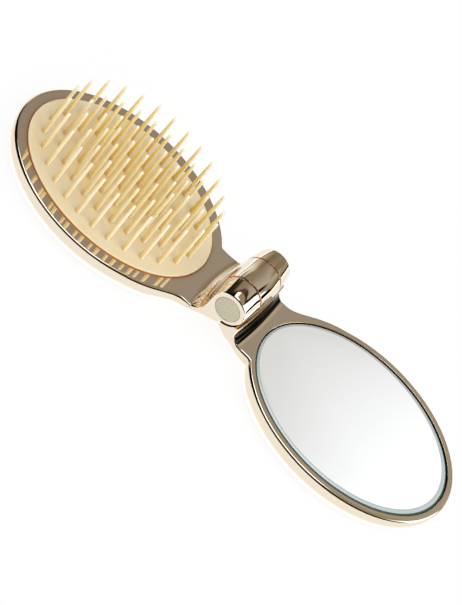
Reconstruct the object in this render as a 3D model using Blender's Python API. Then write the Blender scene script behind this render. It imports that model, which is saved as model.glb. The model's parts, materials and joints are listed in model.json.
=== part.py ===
import math

import bmesh
import bpy

# Clearances
TOUCH_GAP = 0.0003
BURY = 0.00005
SINK = 0.00003
BENT = 0.0000001

# Two oval halves, lying open and flat
OVAL_A = 0.0395
OVAL_B = 0.0296
OVAL_FROM_HINGE = 0.0110
OVAL_CENTRE = OVAL_FROM_HINGE + OVAL_A
FACE_Z = 0.0075
TOP_EDGE = 0.0012
UNDER_EDGE = 0.0045
OVAL_SEGMENTS = 72

# Half length of the hinge barrel, which is as wide as the neck
BARREL_HALF = 0.0139

# Neck between an oval and the hinge
BODY_PAST = 0.0020
NECK_STEP = 0.0007
NECK_TIGHT = BARREL_HALF - NECK_STEP
CORNER_ROUND = 0.0010
SOFT_COARSE = 0.0240
SOFT_END = 0.0310
UNDER_FLAT = 0.0260
EDGE_SHOW_SHARE = 0.6

# Soft side of the neck: distance from the hinge axis as a share of OVAL_FROM_HINGE, flare of BARREL_HALF
NECK_FLARE_SHARES = (
    (0.545, 0.036),
    (0.836, 0.043),
    (1.000, 0.058),
    (1.227, 0.101),
    (1.445, 0.201),
)
OVAL_FLARE_SHARES = (
    (1.718, 0.086),
    (1.964, 0.058),
    (2.382, 0.029),
)

# Underside of the neck: distance past the barrel as a share of BARREL_R, height over the face of FACE_Z
UNDER_SHARES = (
    (-1.278, 0.333),
    (-1.000, 0.333),
    (-0.444, 0.093),
    (0.111, -0.160),
    (0.597, -0.373),
    (1.083, -0.480),
    (1.500, -0.560),
    (1.986, -0.640),
    (3.167, -0.640),
)

# Rounded edges: distance past the barrel as a share of BARREL_R, radius of TOP_EDGE and UNDER_EDGE
TOP_EDGE_SHARES = ((-1.000, 0.417), (0.278, 0.417), (0.667, 1.000))
UNDER_EDGE_SHARES = ((-1.139, 0.133), (-1.000, 0.133), (0.278, 0.444), (2.333, 1.000))

# Hinge barrel, crowned, with three knuckles
AXIS_RISE = 0.0098
AXIS_Z = FACE_Z + AXIS_RISE
BARREL_R = 0.0072
BODY_START = BARREL_R + BODY_PAST
CROWN_DROP = 0.0012
FAR_DROP = 0.0002
SEAM_NEAR_SHARE = -0.417
SEAM_FAR_SHARE = 0.44
SEAM_NEAR = BARREL_HALF * SEAM_NEAR_SHARE
SEAM_FAR = BARREL_HALF * SEAM_FAR_SHARE
NEAR_RIM = 0.0008
FAR_RIM = 0.0008
NEAR_RIM_SHARES = (0.0, 0.12, 0.40, 1.0)
FAR_RIM_SHARES = (1.0, 0.50, 0.15, 0.0)
LIP_DROP = 0.0036
LIP_ROUND = 0.0003
LIP_LEVEL_SHARE = 0.45
PART_X = 0.0006
PART_GAP = 0.0005
BRUSH_WALL = 0.0
BRUSH_FILLET = 0.0044
MIRROR_WALL = 0.0004
MIRROR_FILLET = 0.0040
ROOT_DEPTH = 0.0012
ROOT_REACH = 0.0009
RAMP_SHARES = (0.22, 0.44, 0.66, 0.88)
CROWN_FADE = 0.0100
END_TAPER_SHARES = (0.76, 1.0)
CUT_PAST = 0.0040
CUT_HEIGHT = BARREL_R + CUT_PAST
CUT_REACH = BARREL_R + MIRROR_WALL + MIRROR_FILLET + CUT_PAST
ARC_STEPS = 26
FILLET_STEPS = 6
LIP_STEPS = 2

# Hinge pin and what it carries
PIN_R_SHARE = 0.267
PIN_HEAD_R_SHARE = 0.5
CAP_R_SHARE = 0.692
WASHER_R_SHARE = 0.717
BUSH_R_SHARE = 0.5
END_R = BARREL_R - CROWN_DROP
PIN_R = END_R * PIN_R_SHARE
PIN_HEAD_R = END_R * PIN_HEAD_R_SHARE
PIN_HEAD_T = 0.0010
BORE_R = PIN_R + TOUCH_GAP
HEAD_BORE_R = PIN_HEAD_R + TOUCH_GAP
CAP_R = END_R * CAP_R_SHARE
CAP_T = 0.0012
CAP_PROUD = 0.00005
CAP_EDGE = 0.0002
CAP_BORE_R = CAP_R + TOUCH_GAP
RETAINER_T = 0.0010
SPRING_T = 0.0007
SPRING_RISE = 0.0003
WASHER_R = END_R * WASHER_R_SHARE
WASHER_T = 0.0008
WASHER_BORE_R = WASHER_R + TOUCH_GAP
BUSH_R = END_R * BUSH_R_SHARE
BUSH_BORE_R = BUSH_R + TOUCH_GAP
TURNED_SEGMENTS = 32

# Bristle pad and its pins
PAD_RIM_A = 0.0046
PAD_RIM_B = 0.0048
PAD_A = OVAL_A - PAD_RIM_A
PAD_B = OVAL_B - PAD_RIM_B
PAD_PROUD = 0.0007
PAD_T = 0.0032
PAD_EDGE = 0.0005
BRISTLE_LENGTH = 0.0183
BRISTLE_ROOT_R = 0.00075
BRISTLE_TIP_R = 0.00058
BRISTLE_DOME = 0.00058
BRISTLE_BURIED = 0.0006
BRISTLE_SIDES = 8
RING_A_SHARES = (0.8567, 0.6834, 0.5100)
RING_B_SHARES = (0.8024, 0.5363, 0.2702)
RING_COUNTS = (26, 20, 14)
ROW_COUNT = 5
ROW_STEP_SHARE = 0.1691

# Screws that hold the pad from behind
SCREW_R = 0.0010
SCREW_HEAD_R = 0.0020
SCREW_HEAD_T = 0.0009
SCREW_LENGTH = 0.0030
SCREW_SPREAD_SHARES = (0.52, 0.48)
SCREW_SEGMENTS = 20

# Mirror glass and its adhesive sheet
GLASS_RIM = 0.0027
GLASS_A = OVAL_A - GLASS_RIM
GLASS_B = OVAL_B - GLASS_RIM
GLASS_T = 0.0018
GLASS_SUNK = 0.00025
GLASS_BEVEL = 0.0010
GLASS_BEVEL_DROP = 0.00025
TAPE_T = 0.0006
TAPE_INSET = 0.0025

# Floors and back plates
FLOOR_T = 0.0014
PLATE_CENTRE_SHARE = 0.076
PLATE_A_SHARE = 0.734
PLATE_B_SHARE = 0.743
PLATE_CENTRE = OVAL_CENTRE + OVAL_A * PLATE_CENTRE_SHARE
PLATE_A = OVAL_A * PLATE_A_SHARE
PLATE_B = OVAL_B * PLATE_B_SHARE
PLATE_T = 0.0014
PLATE_EDGE = 0.0002
LEDGE = 0.0015

MATERIALS = {
    "gold_plating": ((0.83, 0.62, 0.40), 1.0, 0.08),
    "bristle_plastic": ((0.80, 0.58, 0.30), 0.0, 0.35),
    "mirror_silver": ((0.90, 0.90, 0.90), 1.0, 0.02),
    "adhesive_foam": ((0.20, 0.20, 0.20), 0.0, 0.90),
    "pin_steel": ((0.55, 0.55, 0.56), 1.0, 0.30),
    "washer_plastic": ((0.75, 0.73, 0.68), 0.0, 0.50),
    "cap_plastic": ((0.62, 0.59, 0.43), 0.0, 0.45),
}


def clear_scene():
    for obj in list(bpy.data.objects):
        bpy.data.objects.remove(obj, do_unlink=True)


def make_material(name):
    colour, metallic, roughness = MATERIALS[name]
    mat = bpy.data.materials.new(name)
    mat.use_nodes = True
    bsdf = mat.node_tree.nodes["Principled BSDF"]
    bsdf.inputs["Base Color"].default_value = (*colour, 1.0)
    bsdf.inputs["Metallic"].default_value = metallic
    bsdf.inputs["Roughness"].default_value = roughness
    mat.diffuse_color = (*colour, 1.0)
    return mat


def is_bent(face):
    """Whether the corners leave the plane of the face, which a Boolean can't take."""
    centre = face.calc_center_median()
    return any(abs((v.co - centre).dot(face.normal)) > BENT for v in face.verts)


def add_object(name, points, faces, slot, origin=(0.0, 0.0, 0.0)):
    mesh = bpy.data.meshes.new(name)
    moved = [tuple(p[i] - origin[i] for i in range(3)) for p in points]
    mesh.from_pydata(moved, [], faces)
    bm = bmesh.new()
    bm.from_mesh(mesh)
    bmesh.ops.recalc_face_normals(bm, faces=bm.faces)
    bent = [f for f in bm.faces if len(f.verts) > 3 and is_bent(f)]
    bmesh.ops.triangulate(bm, faces=bent)
    bm.to_mesh(mesh)
    bm.free()
    mesh.shade_smooth()
    mesh.set_sharp_from_angle(angle=math.radians(35.0))
    obj = bpy.data.objects.new(name, mesh)
    obj.location = origin
    if slot:
        mesh.materials.append(bpy.data.materials[slot])
    bpy.context.scene.collection.objects.link(obj)
    return obj


def add_cutter(name, points, faces):
    obj = add_object(name, points, faces, None)
    obj.hide_render = True
    obj.display_type = "WIRE"
    return obj


def boolean(obj, other, operation):
    mod = obj.modifiers.new(other.name, "BOOLEAN")
    mod.operation = operation
    mod.solver = "EXACT"
    mod.object = other
    other.hide_render = True
    other.display_type = "WIRE"


def curve_at(knots, x):
    """A smooth curve through the knots, which run by rising x."""
    if x <= knots[0][0]:
        return knots[0][1]
    if x >= knots[-1][0]:
        return knots[-1][1]
    last = len(knots) - 1
    i = max(k for k in range(last) if knots[k][0] <= x)

    def slope(k):
        a = knots[max(k - 1, 0)]
        b = knots[min(k + 1, last)]
        return (b[1] - a[1]) / (b[0] - a[0])

    (x0, y0), (x1, y1) = knots[i], knots[i + 1]
    step = x1 - x0
    t = (x - x0) / step
    h00 = 2 * t**3 - 3 * t**2 + 1
    h10 = t**3 - 2 * t**2 + t
    h01 = -2 * t**3 + 3 * t**2
    h11 = t**3 - t**2
    return h00 * y0 + h10 * step * slope(i) + h01 * y1 + h11 * step * slope(i + 1)


def oval_y(u):
    share = (u - OVAL_CENTRE) / OVAL_A
    return OVAL_B * math.sqrt(max(0.0, 1.0 - share * share))


def soft_knots():
    neck = tuple((OVAL_FROM_HINGE * u, BARREL_HALF * (1 + flare)) for u, flare in NECK_FLARE_SHARES)
    places = tuple((OVAL_FROM_HINGE * u, BARREL_HALF * flare) for u, flare in OVAL_FLARE_SHARES)
    oval = tuple((u, oval_y(u) + flare) for u, flare in places)
    extra = (SOFT_END, SOFT_END + ROOT_DEPTH, SOFT_END + 2 * ROOT_DEPTH)
    return neck + oval + tuple((u, oval_y(u)) for u in extra)


def straight_at(knots, x):
    """Straight lines between the knots, level beyond them."""
    if x <= knots[0][0]:
        return knots[0][1]
    for (x0, y0), (x1, y1) in zip(knots, knots[1:]):
        if x <= x1:
            return y0 + (y1 - y0) * (x - x0) / (x1 - x0)
    return knots[-1][1]


def top_edge(u):
    return TOP_EDGE * straight_at(TOP_EDGE_SHARES, u / BARREL_R - 1)


def under_edge(u):
    return UNDER_EDGE * straight_at(UNDER_EDGE_SHARES, u / BARREL_R - 1)


def under_z(u):
    """Height of the underside where it is flat across, by distance from the axis."""
    shown = FACE_Z * (1 + curve_at(UNDER_SHARES, u / BARREL_R - 1)) - EDGE_SHOW_SHARE * under_edge(u)
    return max(0.0, shown)


def tight_corner():
    """The small round between the straight neck side and the oval."""
    centre_v = NECK_TIGHT + CORNER_ROUND

    def at(angle):
        p = (OVAL_CENTRE + OVAL_A * math.cos(angle), OVAL_B * math.sin(angle))
        n = (math.cos(angle) / OVAL_A, math.sin(angle) / OVAL_B)
        size = math.hypot(*n)
        return p, (n[0] / size, n[1] / size)

    low, high = math.pi / 2, math.pi
    for _ in range(60):
        mid = (low + high) / 2
        p, n = at(mid)
        if p[1] + CORNER_ROUND * n[1] > centre_v:
            low = mid
        else:
            high = mid
    p, n = at((low + high) / 2)
    centre = (p[0] + CORNER_ROUND * n[0], centre_v)
    end = math.atan2(-n[1], -n[0])
    start = -math.pi / 2
    if end < start:
        end += 2 * math.pi
    arc = []
    steps = 5
    for k in range(steps + 1):
        a = start + (end - start) * k / steps
        arc.append((centre[0] + CORNER_ROUND * math.cos(a), centre[1] + CORNER_ROUND * math.sin(a)))
    return arc, (low + high) / 2


def side_points(soft):
    """One side of a half in plan, from the hinge to just before the tip."""
    points = []
    if soft:
        knots = soft_knots()
        u = BODY_START
        while u < SOFT_END:
            points.append((u, curve_at(knots, u)))
            u += ROOT_DEPTH if u < SOFT_COARSE else 2 * ROOT_DEPTH
        first = math.acos((SOFT_END - OVAL_CENTRE) / OVAL_A)
    else:
        arc, first = tight_corner()
        steps = 5
        for k in range(steps):
            points.append((BODY_START + (arc[0][0] - BODY_START) * k / steps, NECK_TIGHT))
        points += arc[:-1]
    count = round(first / (2 * math.pi / OVAL_SEGMENTS))
    for k in range(count):
        a = first * (1 - k / count)
        points.append((OVAL_CENTRE + OVAL_A * math.cos(a), OVAL_B * math.sin(a)))
    return points


def half_body(side):
    """Oval plate and neck of one half as one closed shell. side is -1 for the brush, 1 for the mirror."""
    soft = side_points(True)
    tight = [(u, -v) for u, v in side_points(False)]
    tip = (OVAL_CENTRE + OVAL_A, 0.0)
    outline = soft + [tip] + tight[::-1]
    total = len(outline)
    ends = (0, total - 1)
    levels = 4
    rings = []
    normals = []
    for i, (u, v) in enumerate(outline):
        if i in ends:
            normals.append((0.0, 1.0 if v > 0 else -1.0))
            continue
        a, b = outline[i - 1], outline[i + 1]
        du, dv = b[0] - a[0], b[1] - a[1]
        size = math.hypot(du, dv)
        normals.append((-dv / size, du / size))
    if normals[len(soft)][0] < 0:
        normals = [n if i in ends else (-n[0], -n[1]) for i, n in enumerate(normals)]

    def ring(place):
        row = []
        for (u, v), n in zip(outline, normals):
            inset, z = place(u)
            row.append((u - n[0] * inset, v - n[1] * inset, z))
        rings.append(row)

    for k in range(levels + 1):
        a = math.pi / 2 * (1 - k / levels)
        ring(lambda u, a=a: (top_edge(u) * (1 - math.cos(a)), FACE_Z - top_edge(u) * (1 - math.sin(a))))
    for k in range(levels + 2):
        a = math.pi / 2 * k / (levels + 1)
        ring(
            lambda u, a=a: (
                under_edge(u) * (1 - math.cos(a)),
                under_z(u) + under_edge(u) * (1 - math.sin(a)),
            )
        )
    points = [p for row in rings for p in row]
    faces = []
    for j in range(len(rings) - 1):
        for i in range(total - 1):
            a = j * total + i
            faces.append((a, a + 1, a + 1 + total, a + total))
    faces.append(tuple(range(total)))
    last = (len(rings) - 1) * total
    flat = UNDER_FLAT
    left = [i for i in range(len(soft)) if points[last + i][0] < flat]
    right = [total - 1 - i for i in range(len(tight)) if points[last + total - 1 - i][0] < flat]
    i = j = 0
    while i < len(left) - 1 or j < len(right) - 1:
        a, b = last + left[i], last + right[j]
        step_left = j == len(right) - 1 or (
            i < len(left) - 1 and points[last + left[i + 1]][0] < points[last + right[j + 1]][0]
        )
        if step_left:
            faces.append((a, last + left[i + 1], b))
            i += 1
        else:
            faces.append((a, last + right[j + 1], b))
            j += 1
    faces.append(tuple(range(last + left[-1], last + right[-1] + 1)))
    end_cap = [j * total for j in range(len(rings))]
    end_cap += [j * total + total - 1 for j in reversed(range(len(rings)))]
    faces.append(tuple(end_cap))
    turned = [(side * u, side * v, z) for u, v, z in points]
    return turned, faces


def barrel_r(y):
    share = max(-1.0, min(1.0, y / BARREL_HALF))
    return BARREL_R - CROWN_DROP * share * share - FAR_DROP * max(0.0, share)


def rim_inset(y):
    """How far the barrel draws in where its ends are rounded."""
    rim = NEAR_RIM if y < 0 else FAR_RIM
    depth = BARREL_HALF - abs(y)
    if depth >= rim:
        return 0.0
    return rim - math.sqrt(rim * rim - (rim - depth) ** 2)


def barrel_stations():
    near = [NEAR_RIM * share - BARREL_HALF for share in NEAR_RIM_SHARES]
    far = [BARREL_HALF - FAR_RIM * share for share in FAR_RIM_SHARES]
    steps = 10
    first, last = near[-1], far[0]
    middle = [first + (last - first) * k / steps for k in range(1, steps)]
    return near + middle + far


def block_section(side, y):
    """Outline across the hinge block of one half at y, in distance from the axis and height."""
    wall = BRUSH_WALL if side < 0 else MIRROR_WALL
    fillet = BRUSH_FILLET if side < 0 else MIRROR_FILLET
    inset = rim_inset(y)
    r = barrel_r(y) - inset
    wall_u = r + wall
    if wall:
        wall_u += LIP_LEVEL_SHARE * (BARREL_R - barrel_r(y))
    fillet += inset
    part_u = side * PART_X + PART_GAP / 2
    foot = wall_u + fillet
    rows = [(foot + ROOT_REACH, FACE_Z - ROOT_DEPTH)]
    for k in range(FILLET_STEPS + 1):
        a = math.radians(270.0 - 90.0 * k / FILLET_STEPS)
        rows.append((foot + fillet * math.cos(a), FACE_Z - SINK - inset + fillet + fillet * math.sin(a)))
    start = 0.0
    if wall:
        for k in range(LIP_STEPS + 1):
            a = math.pi / 2 * k / LIP_STEPS
            out = wall_u - LIP_ROUND * (1 - math.cos(a))
            rows.append((out, AXIS_Z - LIP_DROP - LIP_ROUND * (1 - math.sin(a))))
        start = -math.asin(LIP_DROP / r)
    end = 2 * math.pi - math.acos(part_u / r)
    for k in range(ARC_STEPS + 1):
        a = start + (end - start) * k / ARC_STEPS
        rows.append((r * math.cos(a), AXIS_Z + r * math.sin(a)))
    reach = foot + ROOT_REACH
    for u in (part_u, *(reach * share for share in RAMP_SHARES), reach):
        fade = max(0.0, 1.0 - max(0.0, u) / CROWN_FADE)
        round_r = under_edge(u)
        depth = BARREL_HALF - abs(y)
        lift = 0.0
        if depth < round_r:
            lift = round_r - math.sqrt(round_r**2 - (round_r - depth) ** 2)
        crown = barrel_r(y) - barrel_r(-BARREL_HALF)
        rows.append((u, under_z(u) + lift - max(0.0, crown) * fade + BURY))
    return rows


def hinge_block(side):
    """Riser, lip and full barrel of one half, before the other half's knuckles are cut away."""
    points = []
    stations = barrel_stations()
    low, high = (BARREL_R * share for share in END_TAPER_SHARES)
    for y in stations:
        for u, z in block_section(side, y):
            share = min(1.0, max(0.0, (u - low) / (high - low)))
            neck = BARREL_HALF * (1 + NECK_FLARE_SHARES[0][1]) if y * side > 0 else NECK_TIGHT
            half = BARREL_HALF + (neck - BURY - BARREL_HALF) * share
            points.append((side * u, y * half / BARREL_HALF, z))
    count = len(points) // len(stations)
    faces = []
    for j in range(len(stations) - 1):
        for i in range(count):
            a = j * count + i
            b = j * count + (i + 1) % count
            faces.append((a, b, b + count, a + count))
    faces.append(tuple(range(count)))
    faces.append(tuple(range((len(stations) - 1) * count, len(stations) * count)))
    return points, faces


def knuckle_room(name, y0, y1):
    """Cutter that clears the barrel and all above the lips between y0 and y1."""
    steps = 12
    points = []
    arc = 18
    count = arc + 5
    for j in range(steps + 1):
        y = y0 + (y1 - y0) * j / steps
        r = barrel_r(y) + TOUCH_GAP
        reach = math.asin(LIP_DROP / r)
        row = [(CUT_REACH, AXIS_Z + CUT_HEIGHT), (-CUT_REACH, AXIS_Z + CUT_HEIGHT)]
        row.append((-CUT_REACH, AXIS_Z - LIP_DROP))
        for k in range(arc + 1):
            a = math.pi + reach + (math.pi - 2 * reach) * k / arc
            row.append((r * math.cos(a), AXIS_Z + r * math.sin(a)))
        row.append((CUT_REACH, AXIS_Z - LIP_DROP))
        points += [(x, y, z) for x, z in row]
    faces = []
    for j in range(steps):
        for i in range(count):
            a = j * count + i
            b = j * count + (i + 1) % count
            faces.append((a, b, b + count, a + count))
    faces.append(tuple(range(count)))
    faces.append(tuple(range(steps * count, (steps + 1) * count)))
    return add_cutter(name, points, faces)


def turned(profile, centre, axis, segments):
    """A closed (radius, height) profile turned round an axis through centre, along y or z."""
    points = []
    faces = []
    rows = []
    for r, h in profile:
        if r == 0:
            rows.append([len(points)])
            points.append((0.0, 0.0, h))
            continue
        row = []
        for k in range(segments):
            a = 2 * math.pi * k / segments
            row.append(len(points))
            points.append((r * math.cos(a), r * math.sin(a), h))
        rows.append(row)
    ring_count = len(rows)
    for j in range(ring_count):
        a, b = rows[j], rows[(j + 1) % ring_count]
        if len(a) == 1 and len(b) == 1:
            continue
        for k in range(segments):
            n = (k + 1) % segments
            if len(a) == 1:
                faces.append((a[0], b[k], b[n]))
            elif len(b) == 1:
                faces.append((a[k], a[n], b[0]))
            else:
                faces.append((a[k], a[n], b[n], b[k]))
    if axis == "y":
        points = [(p[0], p[2], p[1]) for p in points]
    return [tuple(p[i] + centre[i] for i in range(3)) for p in points], faces


def rod(r, h0, h1):
    return [(0, h0), (r, h0), (r, h1), (0, h1)]


def tube(inner, outer, h0, h1):
    return [(inner, h0), (outer, h0), (outer, h1), (inner, h1)]


def oval_rows(a, b, centre_x, rows, segments=OVAL_SEGMENTS):
    """An oval plate from (inset, z) rows, bottom first."""
    points = []
    for inset, z in rows:
        for k in range(segments):
            angle = 2 * math.pi * (k + 0.5) / segments
            points.append((centre_x + (a - inset) * math.cos(angle), (b - inset) * math.sin(angle), z))
    faces = []
    for j in range(len(rows) - 1):
        for k in range(segments):
            n = (k + 1) % segments
            c = j * segments
            faces.append((c + k, c + n, c + segments + n, c + segments + k))
    faces.append(tuple(range(segments)))
    faces.append(tuple(range((len(rows) - 1) * segments, len(rows) * segments)))
    return points, faces


def bristle_places():
    """Where the pins stand, ring by ring and evenly along each ring, then the row along the middle."""
    places = []
    fine = 1440
    for ring, count in enumerate(RING_COUNTS):
        a = PAD_A * RING_A_SHARES[ring]
        b = PAD_B * RING_B_SHARES[ring]
        path = [
            (a * math.cos(2 * math.pi * k / fine), b * math.sin(2 * math.pi * k / fine))
            for k in range(fine + 1)
        ]
        lengths = [0.0]
        for p, q in zip(path, path[1:]):
            lengths.append(lengths[-1] + math.hypot(q[0] - p[0], q[1] - p[1]))
        for k in range(count):
            goal = lengths[-1] * k / count
            i = max(n for n in range(fine) if lengths[n] <= goal)
            places.append(path[i])
    for k in range(ROW_COUNT):
        places.append(((k - (ROW_COUNT - 1) / 2) * ROW_STEP_SHARE * PAD_A, 0.0))
    return places


def bristles(name, top):
    """All pins as one cutter-like mesh that is joined to the pad."""
    points = []
    faces = []
    start = top - BRISTLE_BURIED
    shaft = top + BRISTLE_LENGTH - BRISTLE_DOME
    rows = [(BRISTLE_ROOT_R, start), (BRISTLE_TIP_R, shaft)]
    for k in range(1, 2):
        a = math.pi / 2 * k / 2
        rows.append((BRISTLE_TIP_R * math.cos(a), shaft + BRISTLE_DOME * math.sin(a)))
    for cx, cy in bristle_places():
        base = len(points)
        for r, z in rows:
            for k in range(BRISTLE_SIDES):
                a = 2 * math.pi * (k + 0.5) / BRISTLE_SIDES
                points.append((cx - OVAL_CENTRE + r * math.cos(a), cy + r * math.sin(a), z))
        tip = len(points)
        points.append((cx - OVAL_CENTRE, cy, top + BRISTLE_LENGTH))
        for j in range(len(rows) - 1):
            for k in range(BRISTLE_SIDES):
                n = (k + 1) % BRISTLE_SIDES
                c = base + j * BRISTLE_SIDES
                faces.append((c + k, c + n, c + BRISTLE_SIDES + n, c + BRISTLE_SIDES + k))
        c = base + (len(rows) - 1) * BRISTLE_SIDES
        for k in range(BRISTLE_SIDES):
            faces.append((c + k, c + (k + 1) % BRISTLE_SIDES, tip))
        faces.append(tuple(range(base, base + BRISTLE_SIDES)))
    return add_object(name, points, faces, "bristle_plastic")


def cut_bore(obj, name, profile):
    points, faces = turned(profile, (0.0, 0.0, AXIS_Z), "y", TURNED_SEGMENTS)
    boolean(obj, add_cutter(name, points, faces), "DIFFERENCE")


def cut_oval(obj, name, a, b, centre_x, rows):
    points, faces = oval_rows(a, b, centre_x, rows)
    boolean(obj, add_cutter(name, points, faces), "DIFFERENCE")


def build_frame(name, side):
    points, faces = half_body(side)
    frame = add_object(name, points, faces, "gold_plating")
    points, faces = hinge_block(side)
    block = add_object(name + "_block", points, faces, "gold_plating")
    boolean(frame, block, "UNION")
    return frame


def plate_and_cavity(frame, prefix, side, floor_top):
    """Cuts the well for the back plate and the space above it, and makes the plate."""
    centre = side * PLATE_CENTRE
    well_top = PLATE_T + TOUCH_GAP
    ledge = LEDGE + TOUCH_GAP
    rows = [(0.0, -ROOT_DEPTH), (0.0, well_top), (ledge, well_top), (ledge, floor_top - FLOOR_T)]
    cut_oval(frame, prefix + "_space", PLATE_A + TOUCH_GAP, PLATE_B + TOUCH_GAP, centre, rows)
    rows = [(PLATE_EDGE, 0.0), (0.0, PLATE_EDGE), (0.0, PLATE_T)]
    points, faces = oval_rows(PLATE_A, PLATE_B, centre, rows)
    return points, faces


def main():
    clear_scene()
    for slot in MATERIALS:
        make_material(slot)
    pivot = (0.0, 0.0, AXIS_Z)

    past = BARREL_HALF + CUT_PAST
    cap_floor = BARREL_HALF - CAP_T - TOUCH_GAP
    head_floor = -cap_floor + PIN_HEAD_T + TOUCH_GAP
    far_floor = cap_floor - RETAINER_T - SPRING_T - SPRING_RISE - 3 * TOUCH_GAP
    middle_near = SEAM_NEAR + TOUCH_GAP / 2
    middle_far = SEAM_FAR - TOUCH_GAP / 2
    pocket = WASHER_T + TOUCH_GAP / 2
    high = FACE_Z + CUT_PAST

    # Brush half: frame with the outer two knuckles
    brush = build_frame("brush_frame", -1)
    room = knuckle_room("room_middle", SEAM_NEAR - TOUCH_GAP / 2, SEAM_FAR + TOUCH_GAP / 2)
    boolean(brush, room, "DIFFERENCE")
    profile = [
        (0, -past),
        (CAP_BORE_R, -past),
        (CAP_BORE_R, -cap_floor),
        (HEAD_BORE_R, -cap_floor),
        (HEAD_BORE_R, head_floor),
        (BORE_R, head_floor),
        (BORE_R, far_floor),
        (HEAD_BORE_R, far_floor),
        (HEAD_BORE_R, cap_floor),
        (CAP_BORE_R, cap_floor),
        (CAP_BORE_R, past),
        (0, past),
    ]
    cut_bore(brush, "brush_bore", profile)
    pad_top = FACE_Z + PAD_PROUD
    pad_floor = pad_top - PAD_T - TOUCH_GAP
    rows = [(0.0, pad_floor), (0.0, high)]
    cut_oval(brush, "pad_well", PAD_A + TOUCH_GAP, PAD_B + TOUCH_GAP, -OVAL_CENTRE, rows)

    # Mirror half: frame with the middle knuckle
    mirror = build_frame("mirror_frame", 1)
    boolean(mirror, knuckle_room("room_near", -past, SEAM_NEAR + TOUCH_GAP / 2), "DIFFERENCE")
    boolean(mirror, knuckle_room("room_far", SEAM_FAR - TOUCH_GAP / 2, past), "DIFFERENCE")
    profile = [
        (0, -past),
        (WASHER_BORE_R, -past),
        (WASHER_BORE_R, middle_near + pocket),
        (BUSH_BORE_R, middle_near + pocket),
        (BUSH_BORE_R, middle_far - pocket),
        (WASHER_BORE_R, middle_far - pocket),
        (WASHER_BORE_R, past),
        (0, past),
    ]
    cut_bore(mirror, "bush_bore", profile)
    glass_top = FACE_Z - GLASS_SUNK
    tape_top = glass_top - GLASS_T - TOUCH_GAP
    glass_floor = tape_top - TAPE_T - TOUCH_GAP
    rows = [(0.0, glass_floor), (0.0, high)]
    cut_oval(mirror, "glass_well", GLASS_A + TOUCH_GAP, GLASS_B + TOUCH_GAP, OVAL_CENTRE, rows)
    points, faces = plate_and_cavity(mirror, "mirror", 1, glass_floor)
    add_object("mirror_back_plate", points, faces, "gold_plating", pivot)

    # Pin, its caps, its retainer and its spring washer
    axis_at = (0.0, 0.0, AXIS_Z)
    head_y = -cap_floor
    shaft_end = cap_floor
    profile = [
        (0, head_y),
        (PIN_HEAD_R, head_y),
        (PIN_HEAD_R, head_y + PIN_HEAD_T),
        (PIN_R, head_y + PIN_HEAD_T),
        (PIN_R, shaft_end),
        (0, shaft_end),
    ]
    points, faces = turned(profile, axis_at, "y", TURNED_SEGMENTS)
    add_object("hinge_pin", points, faces, "pin_steel", pivot)
    for name, sign in (("pin_cap_near", -1), ("pin_cap_far", 1)):
        outer = sign * (BARREL_HALF + CAP_PROUD)
        rim = sign * (BARREL_HALF + CAP_PROUD - CAP_EDGE)
        inner = sign * (BARREL_HALF + CAP_PROUD - CAP_T)
        profile = [(0, inner), (CAP_R, inner), (CAP_R, rim), (CAP_R - CAP_EDGE, outer), (0, outer)]
        points, faces = turned(profile, axis_at, "y", TURNED_SEGMENTS)
        add_object(name, points, faces, "cap_plastic", pivot)
    ring_outer = PIN_HEAD_R
    retainer_y = cap_floor - RETAINER_T
    points, faces = turned(tube(BORE_R, ring_outer, retainer_y, cap_floor), axis_at, "y", TURNED_SEGMENTS)
    add_object("pin_retainer", points, faces, "pin_steel", pivot)
    spring_y = far_floor + TOUCH_GAP
    profile = [
        (BORE_R, spring_y + SPRING_RISE),
        (ring_outer, spring_y),
        (ring_outer, spring_y + SPRING_T),
        (BORE_R, spring_y + SPRING_T + SPRING_RISE),
    ]
    points, faces = turned(profile, axis_at, "y", TURNED_SEGMENTS)
    add_object("spring_washer", points, faces, "pin_steel", pivot)

    # Friction bush and washers in the middle knuckle
    points, faces = turned(
        tube(BORE_R, WASHER_R, middle_near, middle_near + WASHER_T - TOUCH_GAP / 2), axis_at, "y", TURNED_SEGMENTS
    )
    add_object("friction_washer_near", points, faces, "washer_plastic", pivot)
    points, faces = turned(
        tube(BORE_R, WASHER_R, middle_far - WASHER_T + TOUCH_GAP / 2, middle_far), axis_at, "y", TURNED_SEGMENTS
    )
    add_object("friction_washer_far", points, faces, "washer_plastic", pivot)
    bush_near = middle_near + pocket + TOUCH_GAP
    bush_far = middle_far - pocket - TOUCH_GAP
    points, faces = turned(tube(BORE_R, BUSH_R, bush_near, bush_far), axis_at, "y", TURNED_SEGMENTS)
    add_object("friction_bush", points, faces, "washer_plastic", pivot)

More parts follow.
